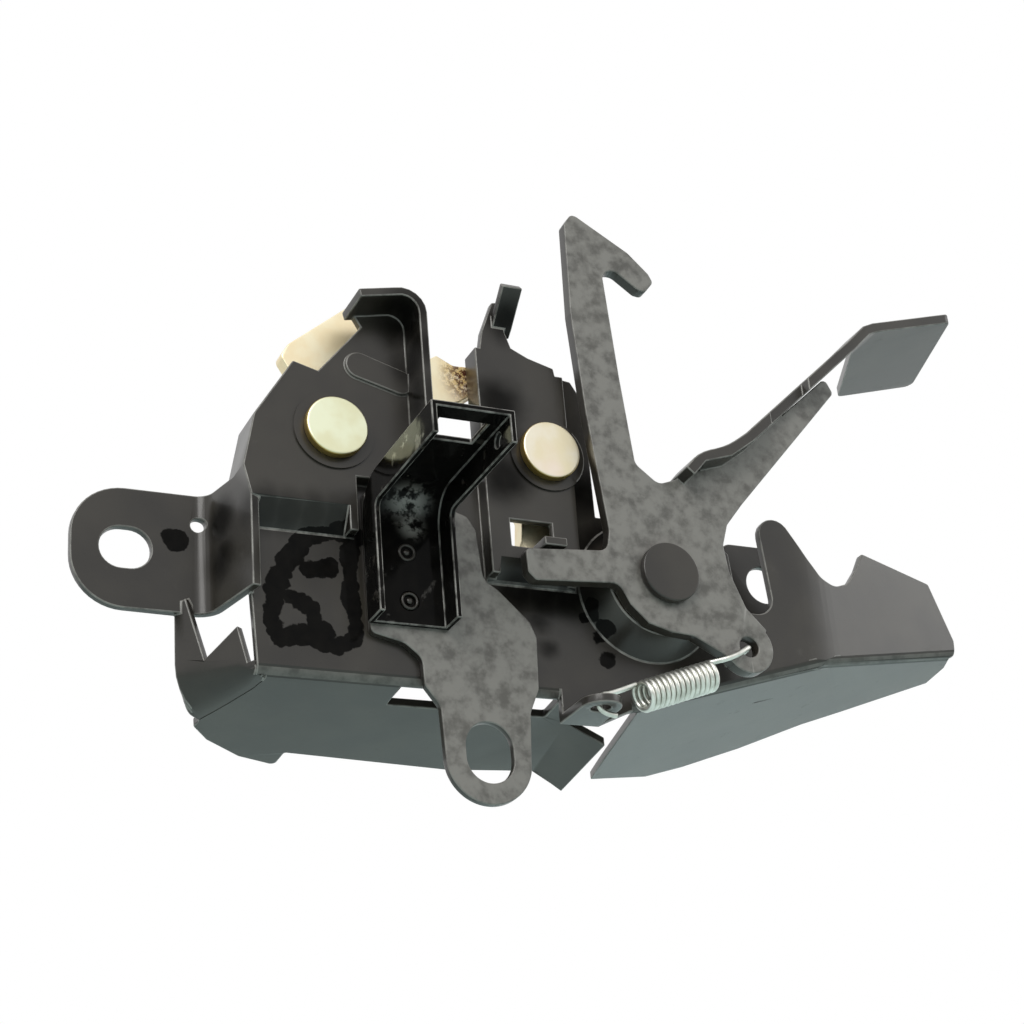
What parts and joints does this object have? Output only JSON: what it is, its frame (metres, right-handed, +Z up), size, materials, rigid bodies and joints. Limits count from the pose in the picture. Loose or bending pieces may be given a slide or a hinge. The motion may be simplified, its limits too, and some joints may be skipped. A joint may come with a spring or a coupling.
{
  "type": "bonnet latch",
  "caption": "Pressed steel bonnet latch with bolting ears, a rotary claw and pawl behind a striker slot, a forward guard channel and a spring-loaded safety hook with a finger pad.",
  "frame": {"origin": "centre of the round bolt hole in the right ear, on the ear's rear face", "axes": "+X to the right seen from the front, +Y to the rear along the bolt hole, +Z up"},
  "size_m": [0.2293, 0.0905, 0.1445],
  "materials": {
    "black_paint": "glossy black dip paint",
    "yellow_zinc": "pale yellow passivated zinc",
    "spring_steel": "bright zinc-plated spring wire"
  },
  "bodies": {
    "base": {"base_plate": "black_paint", "lower_bracket": "black_paint", "guard_channel": "black_paint", "claw_pin": "yellow_zinc", "claw_collar": "yellow_zinc", "claw_clip": "spring_steel", "pawl_pin": "yellow_zinc", "pawl_collar": "yellow_zinc", "pawl_clip": "spring_steel", "hook_rivet": "black_paint", "claw_spring": "spring_steel", "pawl_spring": "spring_steel", "hook_spring": "spring_steel"},
    "claw": {"claw": "yellow_zinc"},
    "pawl": {"pawl": "yellow_zinc"},
    "hook": {"safety_hook": "black_paint"}
  },
  "joints": [
    {"name": "claw_swing", "type": "hinge", "parent": "base", "child": "claw", "pos_m": [-0.116, -0.0115, 0.0164], "axis": [0, 1, 0], "range_deg": [0, 50], "stiffness_Nm_per_rad": 0.03, "springref_deg": -34.38, "deforming": ["claw_spring"]},
    {"name": "pawl_swing", "type": "hinge", "parent": "base", "child": "pawl", "pos_m": [-0.065, -0.0115, 0.0176], "axis": [0, 1, 0], "range_deg": [-14, 8], "stiffness_Nm_per_rad": 0.02, "deforming": ["pawl_spring"]},
    {"name": "hook_swing", "type": "hinge", "parent": "base", "child": "hook", "pos_m": [-0.0413, -0.025, -0.0123], "axis": [0, 1, 0], "range_deg": [-10, 0], "stiffness_Nm_per_rad": 0.06, "springref_deg": 34.38, "deforming": ["hook_spring"]}
  ]
}
